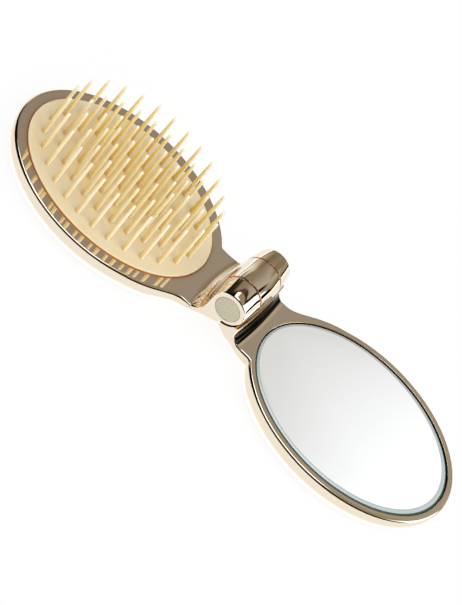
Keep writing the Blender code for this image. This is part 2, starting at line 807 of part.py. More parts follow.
    # Bristle pad, held by four screws from behind
    pad_low = pad_top - PAD_T
    rows = [(0.0, pad_low), (0.0, pad_top - PAD_EDGE)]
    for k in range(1, 4):
        a = math.pi / 2 * k / 3
        rows.append((PAD_EDGE * (1 - math.cos(a)), pad_top - PAD_EDGE * (1 - math.sin(a))))
    points, faces = oval_rows(PAD_A, PAD_B, -OVAL_CENTRE, rows)
    pad = add_object("bristle_pad", points, faces, "bristle_plastic")
    boolean(pad, bristles("bristle_pins", pad_top), "UNION")
    hole_r = SCREW_R + TOUCH_GAP
    head_z = pad_floor - FLOOR_T - TOUCH_GAP - SCREW_HEAD_T
    index = 0
    for sx in (-1, 1):
        for sy in (-1, 1):
            index += 1
            spread_x = PLATE_A * SCREW_SPREAD_SHARES[0]
            spread_y = PLATE_B * SCREW_SPREAD_SHARES[1]
            at = (-PLATE_CENTRE + sx * spread_x, sy * spread_y, 0.0)
            top = head_z + SCREW_HEAD_T + SCREW_LENGTH
            profile = [
                (0, head_z),
                (SCREW_HEAD_R, head_z),
                (SCREW_HEAD_R, head_z + SCREW_HEAD_T),
                (SCREW_R, head_z + SCREW_HEAD_T),
                (SCREW_R, top),
                (0, top),
            ]
            points, faces = turned(profile, at, "z", SCREW_SEGMENTS)
            add_object(f"pad_screw_{index}", points, faces, "pin_steel")
            points, faces = turned(rod(hole_r, head_z, top + TOUCH_GAP), at, "z", SCREW_SEGMENTS)
            hole = add_cutter(f"screw_hole_{index}", points, faces)
            boolean(brush, hole, "DIFFERENCE")
            boolean(pad, hole, "DIFFERENCE")

    points, faces = plate_and_cavity(brush, "brush", -1, pad_floor)
    add_object("brush_back_plate", points, faces, "gold_plating")

    # Mirror glass on its adhesive sheet
    rows = [(0.0, glass_top - GLASS_T), (0.0, glass_top - GLASS_BEVEL_DROP), (GLASS_BEVEL, glass_top)]
    points, faces = oval_rows(GLASS_A, GLASS_B, OVAL_CENTRE, rows)
    add_object("mirror_glass", points, faces, "mirror_silver", pivot)
    rows = [(TAPE_INSET, tape_top - TAPE_T), (TAPE_INSET, tape_top)]
    points, faces = oval_rows(GLASS_A, GLASS_B, OVAL_CENTRE, rows)
    add_object("mirror_tape", points, faces, "adhesive_foam", pivot)


main()
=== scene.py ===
# %% [markdown]
# # A folding styling brush with a mirror
# The object is a pocket brush. Two oval halves are joined by a raised barrel hinge. One half
# carries a pad of moulded pins, and the other a mirror. Both cases are plated a pale
# champagne gold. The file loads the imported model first, then makes the studio, the finishes
# and the pieces, one by one. Lengths are in metres, and where a name ends in MM, in millimetres.

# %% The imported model
import json
import math

import bmesh
import bpy
from mathutils import Matrix, Vector


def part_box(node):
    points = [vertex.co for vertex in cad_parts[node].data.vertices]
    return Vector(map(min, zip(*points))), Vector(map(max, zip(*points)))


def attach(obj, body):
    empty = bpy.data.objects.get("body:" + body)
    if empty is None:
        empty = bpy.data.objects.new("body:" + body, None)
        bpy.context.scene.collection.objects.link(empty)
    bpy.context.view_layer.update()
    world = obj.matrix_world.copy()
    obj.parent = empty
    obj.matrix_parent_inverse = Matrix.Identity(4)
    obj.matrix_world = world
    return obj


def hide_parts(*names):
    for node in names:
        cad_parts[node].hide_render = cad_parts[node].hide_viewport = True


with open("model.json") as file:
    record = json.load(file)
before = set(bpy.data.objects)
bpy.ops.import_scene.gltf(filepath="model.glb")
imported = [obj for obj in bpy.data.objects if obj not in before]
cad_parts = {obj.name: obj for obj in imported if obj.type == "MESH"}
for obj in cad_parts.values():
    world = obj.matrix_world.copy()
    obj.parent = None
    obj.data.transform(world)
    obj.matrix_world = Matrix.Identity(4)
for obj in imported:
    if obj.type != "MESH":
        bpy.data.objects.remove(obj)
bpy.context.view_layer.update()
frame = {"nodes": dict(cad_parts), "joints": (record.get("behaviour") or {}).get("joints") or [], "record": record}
nodes = frame["nodes"]
print("packed nodes:", len(nodes))

# %% [markdown]
# ## Camera
# The photograph looks down at the object from 46.5 degrees, from far off, with the camera
# rolled so that the hinge barrel runs up to the right. The camera could be placed by eye. Here
# its angles come from fitting the two ovals, which a long lens keeps nearly undistorted.

# %% Camera
FACE_Z = 0.0075  # height of the flat faces of both cases
AZIMUTH, ELEVATION, ROLL = (math.radians(a) for a in (2.11, 46.5, 43.26))
DISTANCE = 1.0
FOCAL_PX = 3240.0  # focal length in pixels of the photograph
LONG_SIDE_PX = 605.0
AIM_X, AIM_Y = 0.00159, -0.00011  # how far the hinge stands off the middle of the picture
CLIP_START = 0.01

flat = math.cos(ELEVATION)
back = Vector((math.sin(AZIMUTH) * flat, -math.cos(AZIMUTH) * flat, math.sin(ELEVATION)))
level = Vector((math.cos(AZIMUTH), math.sin(AZIMUTH), 0.0))
upward = back.cross(level)
right = level * math.cos(ROLL) + upward * math.sin(ROLL)
up = upward * math.cos(ROLL) - level * math.sin(ROLL)
target = Vector((0.0, 0.0, FACE_Z)) - right * AIM_X - up * AIM_Y

camera = bpy.data.objects.new("camera", bpy.data.cameras.new("camera"))
camera.data.lens = camera.data.sensor_width * FOCAL_PX / LONG_SIDE_PX
camera.data.clip_start = CLIP_START
attitude = Matrix((right, up, back)).transposed()
camera.matrix_world = Matrix.Translation(target + back * DISTANCE) @ attitude.to_4x4()
bpy.context.scene.collection.objects.link(camera)
bpy.context.scene.camera = camera
bpy.context.scene.view_settings.view_transform = "Standard"
print("camera at", [round(v, 4) for v in camera.matrix_world.translation])

# %% [markdown]
# ## Helpers for colours and nodes
# A colour is written as the hex value that a painter would pick, and shaders want linear light,
# so one function turns it. A second one adds a shader node with its settings and links. It
# takes the stops of a colour ramp too, because a ramp without its stops says nothing.

# %% Colours


def linear(hex_code, gain=1.0):
    """An sRGB hex colour as linear red, green, blue and alpha, made brighter by the gain."""
    parts = [int(hex_code[i : i + 2], 16) / 255 for i in (1, 3, 5)]
    light = [c / 12.92 if c <= 0.04045 else ((c + 0.055) / 1.055) ** 2.4 for c in parts]
    return (*(gain * c for c in light), 1.0)


print("mid grey is", [round(v, 3) for v in linear("#808080")])

# %% Shader nodes


def add_node(tree, kind, settings=None, stops=None, **inputs):
    """Adds a node, sets its properties and ramp stops, and sets or links the named inputs."""
    node = tree.nodes.new(kind)
    for name, value in (settings or {}).items():
        setattr(node, name, value)
    if stops:
        elements = node.color_ramp.elements
        while len(elements) < len(stops):
            elements.new(0.5)
        for element, (place, colour) in zip(elements, stops):
            element.position, element.color = place, colour
    for name, value in inputs.items():
        socket = node.inputs[int(name[1:])] if name[0] == "_" else node.inputs[name.replace("_", " ")]
        if isinstance(value, bpy.types.NodeSocket):
            tree.links.new(value, socket)
        else:
            socket.default_value = value
    return node


def new_finish(name):
    """An empty material and its node tree."""
    material = bpy.data.materials.new(name)
    material.use_nodes = True
    material.node_tree.nodes.clear()
    return material, material.node_tree


print("node helper ready")

# %% [markdown]
# ## Room
# Polished plating shows nothing but the room around it, so the room is made first. It could be
# built from planes, but a world shader is lighter and casts no shadows. It is read by two
# values: the turn, which goes from the horizon behind the object over the top to the horizon
# behind the camera, and the side, from left to right. Behind the object stands a warm grey
# board, which the flat faces show. Above it hangs a white tent. Between the ceiling and the
# front of the room lies a dark band that draws the thin black line along every rounded rim.

# %% Rows of the room, from the horizon behind the object up and over
# Each row has its name, the turn at which it starts, half the turn that its soft edge takes,
# and its colours from -1 on the left to 1 on the right.
WHITE = linear("#ffffff", 2.2)
BLACK = linear("#0b0a09")
ROOM = (
    ("skirting", -1.0, 0.004, (
        (-0.70, linear("#c8beb0")),
        (-0.50, linear("#8a7e6e")),
        (-0.35, linear("#4c443a")),
        (0.40, linear("#4c443a")),
        (0.56, linear("#221e1a")),
        (0.66, BLACK),
    )),
    ("low board", 0.040, 0.010, (
        (-0.70, linear("#ffffff", 1.05)),
        (-0.60, linear("#c5b9a8")),
        (-0.42, linear("#8d806c")),
        (-0.12, linear("#968b7e")),
        (0.03, linear("#9d9387")),
        (0.50, linear("#a1967f")),
        (0.692, linear("#8d826a")),
        (0.704, BLACK),
    )),
    ("middle board", 0.108, 0.014, (
        (-0.74, linear("#2a241b")),
        (-0.66, linear("#e2d8c8")),
        (-0.60, linear("#e2d8c8")),
        (-0.50, linear("#9a8c75")),
        (-0.36, linear("#7f705c")),
        (-0.12, linear("#8b8071")),
        (0.03, linear("#948a7b")),
        (0.12, linear("#8c7d66")),
        (0.36, linear("#8c7d66")),
        (0.50, linear("#bdb3a6")),
        (0.694, linear("#a1967f")),
        (0.720, WHITE),
    )),
    ("high board", 0.195, 0.020, (
        (-0.80, linear("#1d1812")),
        (-0.64, linear("#3c3426")),
        (-0.54, linear("#8f826b")),
        (-0.36, linear("#93826e")),
        (-0.12, linear("#998e83")),
        (0.03, linear("#a69c91")),
        (0.08, linear("#aca397")),
        (0.48, linear("#beb4a8")),
        (0.53, BLACK),
        (0.62, BLACK),
        (0.67, WHITE),
    )),
    ("shadow gap", 0.322, 0.004, (
        (-0.70, BLACK),
        (-0.34, linear("#52463a")),
        (0.02, linear("#52463a")),
        (0.12, linear("#3a3026")),
        (0.60, linear("#3a3026")),
        (0.70, WHITE),
    )),
    ("tent hem", 0.342, 0.006, (
        (-0.42, BLACK),
        (-0.36, WHITE),
        (-0.20, WHITE),
        (-0.15, linear("#9f907c")),
        (0.60, linear("#9f907c")),
        (0.68, WHITE),
    )),
    ("tent", 0.400, 0.008, (
        (-0.42, BLACK),
        (-0.36, WHITE),
        (0.09, WHITE),
        (0.15, linear("#9f907c")),
        (0.60, linear("#9f907c")),
        (0.68, WHITE),
    )),
    ("ceiling", 0.495, 0.006, (
        (-0.42, BLACK),
        (-0.36, linear("#ffffff")),
        (0.09, linear("#ffffff")),
        (0.15, linear("#9f907c")),
        (0.60, linear("#9f907c")),
        (0.68, linear("#ffffff")),
    )),
    ("dark side", 0.575, 0.010, ((-1.0, BLACK), (1.0, BLACK))),
    ("front board", 0.815, 0.012, ((-1.0, linear("#7d6f5b")), (1.0, linear("#7d6f5b")))),
    ("front sweep", 0.865, 0.012, ((-1.0, linear("#ffffff")), (1.0, linear("#ffffff")))),
)
print("rows in the room:", len(ROOM))

# %% The two directions that the room is read by
world = bpy.data.worlds.new("studio")
bpy.context.scene.world = world
world.use_nodes = True
tree = world.node_tree
tree.nodes.clear()
coords = add_node(tree, "ShaderNodeTexCoord")
split = add_node(tree, "ShaderNodeSeparateXYZ", _0=coords.outputs["Generated"])
angle = add_node(
    tree,
    "ShaderNodeMath",
    {"operation": "ARCTAN2"},
    _0=split.outputs["Z"],
    _1=split.outputs["Y"],
)
turn = add_node(tree, "ShaderNodeMath", {"operation": "DIVIDE"}, _0=angle.outputs[0], _1=math.pi)
side = add_node(tree, "ShaderNodeMapRange", Value=split.outputs["X"], From_Min=-1.0, From_Max=1.0)
print("world:", world.name)

# %% Each row laid over the ones below it
seen = None
for name, start, blur, stops in ROOM:
    stops = [((place + 1) / 2, colour) for place, colour in stops]
    row = add_node(tree, "ShaderNodeValToRGB", {"label": name}, stops, _0=side.outputs[0])
    if seen is None:
        seen = row.outputs["Color"]
        continue
    above = add_node(
        tree,
        "ShaderNodeMapRange",
        {"interpolation_type": "SMOOTHSTEP"},
        Value=turn.outputs[0],
        From_Min=start - blur,
        From_Max=start + blur,
    )
    mix = add_node(
        tree,
        "ShaderNodeMix",
        {"data_type": "RGBA"},
        _0=above.outputs[0],
        _6=seen,
        _7=row.outputs["Color"],
    )
    seen = mix.outputs[2]
print("top row of the room:", name)

# %% [markdown]
# The room is only for mirrors. Matt surfaces get an even white light instead, so that a colour
# renders about as it is written, and the camera sees plain white behind everything.

# %% What each kind of ray sees
AMBIENT = 0.73
rays = add_node(tree, "ShaderNodeLightPath")
plain = add_node(tree, "ShaderNodeBackground", Color=linear("#fffdfa"), Strength=AMBIENT)
room = add_node(tree, "ShaderNodeBackground", Color=seen, Strength=1.0)
paper_white = add_node(tree, "ShaderNodeBackground", Color=linear("#ffffff"), Strength=1.0)
mirrored = add_node(
    tree,
    "ShaderNodeMixShader",
    _0=rays.outputs["Is Glossy Ray"],
    _1=plain.outputs[0],
    _2=room.outputs[0],
)
clear = add_node(
    tree,
    "ShaderNodeMath",
    {"operation": "MAXIMUM"},
    _0=rays.outputs["Is Camera Ray"],
    _1=rays.outputs["Is Transmission Ray"],
)
whole = add_node(
    tree, "ShaderNodeMixShader", _0=clear.outputs[0], _1=mirrored.outputs[0], _2=paper_white.outputs[0]
)
add_node(tree, "ShaderNodeOutputWorld", Surface=whole.outputs[0])
print("ambient light", AMBIENT)

# %% [markdown]
# ## Floor
# The object lies on white paper. It could be a plain diffuse sheet, but under light that leaves
# the object's colours as they are, that sheet would come out grey. So cameras and mirrors see
# it glow white, and a small share of its real shading stays, which keeps the object's faint
# shadow.

# %% Paper sheet
FLOOR_HALF = 3.0
FLOOR_DROP = 0.0003
bm = bmesh.new()
bmesh.ops.create_grid(bm, x_segments=1, y_segments=1, size=FLOOR_HALF)
bmesh.ops.translate(bm, verts=bm.verts, vec=(0.0, 0.0, -FLOOR_DROP))
mesh = bpy.data.meshes.new("floor")
bm.to_mesh(mesh)
bm.free()
floor = bpy.data.objects.new("floor", mesh)
bpy.context.scene.collection.objects.link(floor)
print("floor half width", FLOOR_HALF)

# %% [markdown]
# In a mirror the paper is not the same white everywhere. Far off it is lit by the sweep of the
# studio, and in the narrow gap right under a rim the underside of the plating throws light back
# and forth. Both are given as a stronger glow that only mirrors see.

# %% Glow of the paper in mirrors
FAR_FROM, FAR_TO = 0.10, 0.60
UNDER_REACH = 0.006

# Paper: clean white with a faint shadow, brighter in mirrors far off and right under a rim.
paper, tree = new_finish("white paper sweep")
place = add_node(tree, "ShaderNodeTexCoord")
far = add_node(tree, "ShaderNodeVectorMath", {"operation": "LENGTH"}, _0=place.outputs["Object"])
lift = add_node(
    tree,
    "ShaderNodeMapRange",
    Value=far.outputs["Value"],
    From_Min=FAR_FROM,
    From_Max=FAR_TO,
    To_Min=1.02,
    To_Max=1.6,
)
under = add_node(tree, "ShaderNodeAmbientOcclusion", {"samples": 4}, Distance=UNDER_REACH)
glare = add_node(
    tree,
    "ShaderNodeMapRange",
    Value=under.outputs["AO"],
    From_Min=0.35,
    From_Max=0.70,
    To_Min=1.9,
    To_Max=0.94,
)
near_or_far = add_node(
    tree, "ShaderNodeMath", {"operation": "MAXIMUM"}, _0=glare.outputs[0], _1=lift.outputs[0]
)
print("paper glows more from", FAR_FROM, "m off")

# %% Paper finish
SHADOW_SHARE = 0.10
PAPER_GLOW = 1.012
rays = add_node(tree, "ShaderNodeLightPath")
strength = add_node(
    tree,
    "ShaderNodeMix",
    {"data_type": "FLOAT"},
    _0=rays.outputs["Is Glossy Ray"],
    _2=PAPER_GLOW,
    _3=near_or_far.outputs[0],
)
matt = add_node(tree, "ShaderNodeBsdfDiffuse", Color=linear("#f7f7f7"))
glow = add_node(tree, "ShaderNodeEmission", Color=linear("#ffffff"), Strength=strength.outputs[0])
shaded = add_node(tree, "ShaderNodeMixShader", _0=SHADOW_SHARE, _1=glow.outputs[0], _2=matt.outputs[0])
looked_at = add_node(
    tree,
    "ShaderNodeMath",
    {"operation": "MAXIMUM"},
    _0=rays.outputs["Is Camera Ray"],
    _1=rays.outputs["Is Glossy Ray"],
)
whole = add_node(
    tree, "ShaderNodeMixShader", _0=looked_at.outputs[0], _1=matt.outputs[0], _2=shaded.outputs[0]
)
add_node(tree, "ShaderNodeOutputMaterial", Surface=whole.outputs[0])
floor.data.materials.append(paper)
print("share of shading that the paper keeps:", SHADOW_SHARE)

# %% [markdown]
# ## Lamps
# One soft lamp hangs on the right and rounds the pins. A second one stands low in front, so the
# first rows of pins turn pale and shade the rows behind them. A sun would be simpler, but its
# shadows are too hard. Both lamps are hidden from mirrors, because the room already gives them
# their highlights.

# %% Lamps


def area_lamp(name, place, aim, size, power):
    """A square lamp at a place, turned to its aim and unseen by the camera."""
    lamp = bpy.data.lights.new(name, "AREA")
    lamp.shape = "SQUARE"
    lamp.size = size
    lamp.energy = power
    obj = bpy.data.objects.new(name, lamp)
    obj.location = place
    obj.rotation_euler = (Vector(aim) - Vector(place)).to_track_quat("-Z", "Y").to_euler()
    obj.visible_camera = False
    bpy.context.scene.collection.objects.link(obj)
    return obj


key = area_lamp("key lamp", (0.45, -0.20, 0.66), (0.0, 0.0, 0.0), 0.6, 2.6)
fill = area_lamp("low front lamp", (0.3, -1.15, 0.5), (0.0, 0.0, 0.0), 0.4, 3.6)
key.visible_glossy = fill.visible_glossy = False
print("lamps:", key.data.energy, "W and", fill.data.energy, "W")

# %% [markdown]
# ## Champagne gold plating
# The cases are ABS, moulded and then chrome plated in a pale gold. To the eye it is a full
# metal with no body colour: a hard mirror image, warmed by the plating. The moulding under it
# is never quite flat, so a slow wave a few millimetres long bends the image a little. Its
# edges are rounded by nearly half a millimetre. A bevel could be cut into the mesh, but a
# shader bevel bends only the normal, so it also works on edges shorter than the rounding.

# %% Waves, smears and rounded edges
PER_MM = 1000.0  # millimetres in a metre, and the scale of a pattern that repeats every one
WAVE_MM = 9.0
WAVE_HEIGHT = 0.0001
SMEAR_MM = 14.0
EDGE_ROUND = 0.0004

# Plating: a hard warm image of the room, with painted shade from amber to dark brown where two parts nearly touch,
# a nearly black painted shade on the lip beside the barrel and a painted copper reflection at the seams.
gold, tree = new_finish("champagne gold chrome plating")
place = add_node(tree, "ShaderNodeTexCoord")
wave = add_node(
    tree, "ShaderNodeTexNoise", Vector=place.outputs["Object"], Scale=PER_MM / WAVE_MM, Detail=0.0
)
rounded = add_node(tree, "ShaderNodeBevel", {"samples": 8}, Radius=EDGE_ROUND)
ripple = add_node(
    tree,
    "ShaderNodeBump",
    Height=wave.outputs[0],
    Strength=0.05,
    Distance=WAVE_HEIGHT,
    Normal=rounded.outputs[0],
)
smear = add_node(
    tree, "ShaderNodeTexNoise", Vector=place.outputs["Object"], Scale=PER_MM / SMEAR_MM, Detail=3.0
)
polish = add_node(
    tree,
    "ShaderNodeMapRange",
    Value=smear.outputs[0],
    From_Min=0.3,
    From_Max=0.7,
    To_Min=0.02,
    To_Max=0.05,
)
print("plating waves of", WAVE_MM, "mm")

# %% [markdown]
# Where two parts nearly touch, a painted shade takes the gold through amber to a dark brown.
# Ambient occlusion finds such places on any shape.

# %% Painted brown shade in the crevices
CREVICE_SHADE_REACH = 0.002
near = add_node(tree, "ShaderNodeAmbientOcclusion", {"samples": 6}, Distance=CREVICE_SHADE_REACH)
# Painted shade: the less open a point is, the darker the brown it is given.
stops = (
    (0.15, linear("#1c0f06")),
    (0.45, linear("#8a4c1c")),
    (0.70, linear("#d59a5c")),
    (0.88, linear("#efe3d0")),
)
tint = add_node(tree, "ShaderNodeValToRGB", None, stops, _0=near.outputs["AO"])
print("crevices reach", CREVICE_SHADE_REACH * PER_MM, "mm")

# %% [markdown]
# The lip beside the barrel is the deepest hollow, and it gets a nearly black painted shade. It is too wide for
# occlusion to find, so it is named by its place: outside the barrel, above the face, on the
# mirror half, and not on the wall that faces the camera. Each of these is a value from 0 to 1,
# and their product is the painted shade's mask.

# %% Painted shade on the lip beside the barrel
AXIS_Z = frame["joints"][0]["pos_m"][2]
BARREL_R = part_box("mirror_frame")[1].z - AXIS_Z
BARREL_SKIN = 0.0001
LIP_FOOT = 0.0002
LIP_Z = 0.0137
where = add_node(tree, "ShaderNodeSeparateXYZ", _0=place.outputs["Object"])
across_axis = add_node(
    tree,
    "ShaderNodeVectorMath",
    {"operation": "MULTIPLY"},
    _0=place.outputs["Object"],
    _1=(1.0, 0.0, 1.0),
)
reach = add_node(
    tree,
    "ShaderNodeVectorMath",
    {"operation": "DISTANCE"},
    _0=across_axis.outputs[0],
    _1=(0.0, 0.0, AXIS_Z),
)
outside = add_node(
    tree,
    "ShaderNodeMapRange",
    Value=reach.outputs["Value"],
    From_Min=BARREL_R + BARREL_SKIN,
    From_Max=BARREL_R + BARREL_SKIN * 2,
)
rise = add_node(
    tree, "ShaderNodeMapRange", Value=where.outputs["Z"], From_Min=FACE_Z + LIP_FOOT, From_Max=LIP_Z
)
stops = (
    (0.0, linear("#000000")),
    (0.03, linear("#ffffff")),
    (0.55, linear("#ffffff")),
    (0.75, linear("#000000")),
)
slope = add_node(tree, "ShaderNodeValToRGB", None, stops, _0=rise.outputs[0])
facing = add_node(tree, "ShaderNodeSeparateXYZ", _0=place.outputs["Normal"])
not_wall = add_node(
    tree, "ShaderNodeMath", {"operation": "GREATER_THAN"}, _0=facing.outputs["Y"], _1=-0.5
)
mirror_half = add_node(
    tree, "ShaderNodeMath", {"operation": "GREATER_THAN"}, _0=where.outputs["X"], _1=0.0
)
lip_shade_mask = outside.outputs[0]
for limit in (slope.outputs["Color"], not_wall.outputs[0], mirror_half.outputs[0]):
    lip_shade_mask = add_node(tree, "ShaderNodeMath", {"operation": "MULTIPLY"}, _0=lip_shade_mask, _1=limit).outputs[0]
# Painted shade: the lip is mixed toward near black.
painted_hollow_shade = add_node(
    tree,
    "ShaderNodeMix",
    {"data_type": "RGBA"},
    _0=lip_shade_mask,
    _6=tint.outputs["Color"],
    _7=linear("#26231c"),
)
print("barrel radius", round(BARREL_R * PER_MM, 2), "mm")

# %% [markdown]
# The two seams between the knuckles get a painted copper reflection, the warm light that bounces
# between the knuckles' edges. A seam is found by how far along the barrel a point lies from it, and
# the band fades at its edge.

# %% Painted copper reflection at the seams of the barrel
SEAMS = (-0.0058, 0.0061)
SEAM_BAND = 0.0005
gaps = []
for seam in SEAMS:
    offset = add_node(tree, "ShaderNodeMath", {"operation": "ADD"}, _0=where.outputs["Y"], _1=-seam)
    gaps.append(add_node(tree, "ShaderNodeMath", {"operation": "ABSOLUTE"}, _0=offset.outputs[0]))
gap = add_node(
    tree, "ShaderNodeMath", {"operation": "MINIMUM"}, _0=gaps[0].outputs[0], _1=gaps[1].outputs[0]
)
seam_reflection_fade = add_node(
    tree,
    "ShaderNodeMapRange",
    Value=gap.outputs[0],
    From_Min=SEAM_BAND / 2,
    From_Max=SEAM_BAND,
    To_Min=1.0,
    To_Max=0.0,
)
on_barrel = add_node(
    tree,
    "ShaderNodeMath",
    {"operation": "LESS_THAN"},
    _0=reach.outputs["Value"],
    _1=BARREL_R + BARREL_SKIN,
)
seam_reflection_band = add_node(
    tree, "ShaderNodeMath", {"operation": "MULTIPLY"}, _0=seam_reflection_fade.outputs[0], _1=on_barrel.outputs[0]
)
# Painted reflection: the seam band is mixed toward copper.
with_seam_reflection = add_node(
    tree,
    "ShaderNodeMix",
    {"data_type": "RGBA"},
    _0=seam_reflection_band.outputs[0],
    _6=painted_hollow_shade.outputs[2],
    _7=linear("#c98d60"),
)
print("seams:", len(SEAMS))

# %% Plating shader
shader = add_node(
    tree,
    "ShaderNodeBsdfPrincipled",
    Base_Color=with_seam_reflection.outputs[2],
    Metallic=1.0,
    Roughness=polish.outputs[0],
    Normal=ripple.outputs[0],
)
add_node(tree, "ShaderNodeOutputMaterial", Surface=shader.outputs[0])
print("finish:", gold.name)

# %% [markdown]
# ## Pin nylon
# The pins are moulded nylon, tinted amber and let light in. A ramp over the height makes each pin
# deep golden at its thick root and pale at its thin tip, where more light passes: partly the amber's
# own depth, partly painted shade at the root and a painted highlight at the tip. A fine cloudiness
# breaks the even colour.

# %% Amber, with painted shade at the root and a painted highlight at the tip
PIN_FOOT = 0.0077  # the middle of the dished pad, where the pins start
PIN_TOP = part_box("bristle_pad")[1].z
CLOUD_MM = 1.5

# Nylon: painted shade in deep amber at the roots and on the sides away from the lamp, painted light on the lit
# sides and front rows, and a painted highlight at the nearly white tips.
amber, tree = new_finish("amber moulded nylon")
place = add_node(tree, "ShaderNodeTexCoord")
height = add_node(tree, "ShaderNodeSeparateXYZ", _0=place.outputs["Object"])
share = add_node(
    tree, "ShaderNodeMapRange", Value=height.outputs["Z"], From_Min=PIN_FOOT, From_Max=PIN_TOP
)
# Painted shade in the deep amber low stops, and a painted highlight in the near white top stop.
stops = (
    (0.0, linear("#d6a644")),
    (0.12, linear("#e6c258")),
    (0.45, linear("#edd370")),
    (0.88, linear("#eedb90")),
    (1.0, linear("#fffaf0")),
)
tint = add_node(tree, "ShaderNodeValToRGB", None, stops, _0=share.outputs[0])
cloud = add_node(
    tree, "ShaderNodeTexNoise", Vector=place.outputs["Object"], Scale=PER_MM / CLOUD_MM, Detail=2.0
)
thin = add_node(
    tree,
    "ShaderNodeMapRange",
    Value=cloud.outputs[0],
    From_Min=0.35,
    From_Max=0.65,
    To_Min=0.0,
    To_Max=0.18,
)
mottled = add_node(
    tree,
    "ShaderNodeMix",
    {"data_type": "RGBA"},
    _0=thin.outputs[0],
    _6=tint.outputs["Color"],
    _7=linear("#f4dfa6"),
)
print("pins from", PIN_FOOT, "to", round(PIN_TOP, 4))

# %% [markdown]
# The front rows are painted paler, most of all near their tips, as painted light from the low
# front lamp. The side of a pin that faces the key lamp is painted paler than the other, with a crisp
# edge, as a painted highlight.

# %% Painted light on the front rows and lit sides
FRONT_ROWS_Y = (0.006, -0.020)
in_front = add_node(
    tree,
    "ShaderNodeMapRange",
    Value=height.outputs["Y"],
    From_Min=FRONT_ROWS_Y[0],
    From_Max=FRONT_ROWS_Y[1],
)
high_up = add_node(
    tree,
    "ShaderNodeMapRange",
    Value=share.outputs[0],
    From_Min=0.0,
    From_Max=0.65,
    To_Min=0.15,
    To_Max=0.7,
)
# Painted light: the front rows, lit by the low front lamp, are mixed toward a pale colour.
front_light_share = add_node(
    tree, "ShaderNodeMath", {"operation": "MULTIPLY"}, _0=in_front.outputs[0], _1=high_up.outputs[0]
)
front_lit_colour = add_node(
    tree,
    "ShaderNodeMix",
    {"data_type": "RGBA"},
    _0=front_light_share.outputs[0],
    _6=mottled.outputs[2],
    _7=linear("#e6dabe"),
)
facing = add_node(tree, "ShaderNodeSeparateXYZ", _0=place.outputs["Normal"])
turned = add_node(tree, "ShaderNodeMapRange", Value=facing.outputs["X"], From_Min=-1.0, From_Max=1.0)
# Painted highlight: the side that faces +x, towards the key lamp, is mixed toward near white.
stops = (
    (0.40, linear("#000000")),
    (0.66, linear("#5f5f5f")),
    (0.84, linear("#ffffff")),
)
lit = add_node(tree, "ShaderNodeValToRGB", None, stops, _0=turned.outputs[0])
painted_side_light = add_node(
    tree,
    "ShaderNodeMix",
    {"data_type": "RGBA"},
    _0=lit.outputs[0],
    _6=front_lit_colour.outputs[2],
    _7=linear("#f6eedc"),
)
print("front rows clear up to y", FRONT_ROWS_Y[0])

# %% Nylon shader
NYLON_DEPTH = 0.0008
shader = add_node(
    tree,
    "ShaderNodeBsdfPrincipled",
    Base_Color=painted_side_light.outputs[2],
    Roughness=0.28,
    IOR=1.53,
    Coat_Weight=0.6,
    Coat_Roughness=0.2,
    Subsurface_Weight=0.3,
    Subsurface_Radius=(1.0, 0.8, 0.5),
    Subsurface_Scale=NYLON_DEPTH,
)
add_node(tree, "ShaderNodeOutputMaterial", Surface=shader.outputs[0])
print("finish:", amber.name)

# %% [markdown]
# ## Pad elastomer
# The pins stand in a cream pad of soft moulded elastomer. Its top is pale and a little cloudy.
# The foot of its upright edge, where the pad meets the case, gets a painted shade, a thin burnt
# orange line. The surface normal tells top from edge, and the height
# keeps the line to the foot of the edge.

# %% Cream top
PAD_CLOUD_MM = 6.0

# Elastomer: a soft pale cream cushion, with a thin burnt orange line of painted shade round its foot and painted
# amber light between the pins.
cream, tree = new_finish("cream moulded elastomer")
place = add_node(tree, "ShaderNodeTexCoord")
cloud = add_node(
    tree, "ShaderNodeTexNoise", Vector=place.outputs["Object"], Scale=PER_MM / PAD_CLOUD_MM, Detail=3.0
)
stops = (
    (0.35, linear("#eedcb6")),
    (0.65, linear("#ebdec0")),
)
top = add_node(tree, "ShaderNodeValToRGB", None, stops, _0=cloud.outputs[0])
print("pad clouds of", PAD_CLOUD_MM, "mm")

# %% Painted orange shade round the foot
LINE_LOW, LINE_HIGH = FACE_Z + 0.0003, FACE_Z + 0.0006
facing = add_node(tree, "ShaderNodeSeparateXYZ", _0=place.outputs["Normal"])
upright = add_node(
    tree,
    "ShaderNodeMapRange",
    {"interpolation_type": "SMOOTHSTEP"},
    Value=facing.outputs["Z"],
    From_Min=0.30,
    From_Max=0.80,
    To_Min=1.0,
    To_Max=0.0,
)
height = add_node(tree, "ShaderNodeSeparateXYZ", _0=place.outputs["Object"])
low_down = add_node(
    tree,
    "ShaderNodeMapRange",
    Value=height.outputs["Z"],
    From_Min=LINE_LOW,
    From_Max=LINE_HIGH,
    To_Min=1.0,
    To_Max=0.0,
)
foot_shade_mask = add_node(
    tree, "ShaderNodeMath", {"operation": "MULTIPLY"}, _0=upright.outputs[0], _1=low_down.outputs[0]
)
print("orange line fades above", round(LINE_LOW * PER_MM, 1), "mm")

# %% [markdown]
# Between the pins the pad is painted with their amber light, since much of the light there has
# passed through them. A point's place is divided by the pad's half sizes, which makes the oval a
# circle, and its distance from the middle then says how deep among the pins it lies.

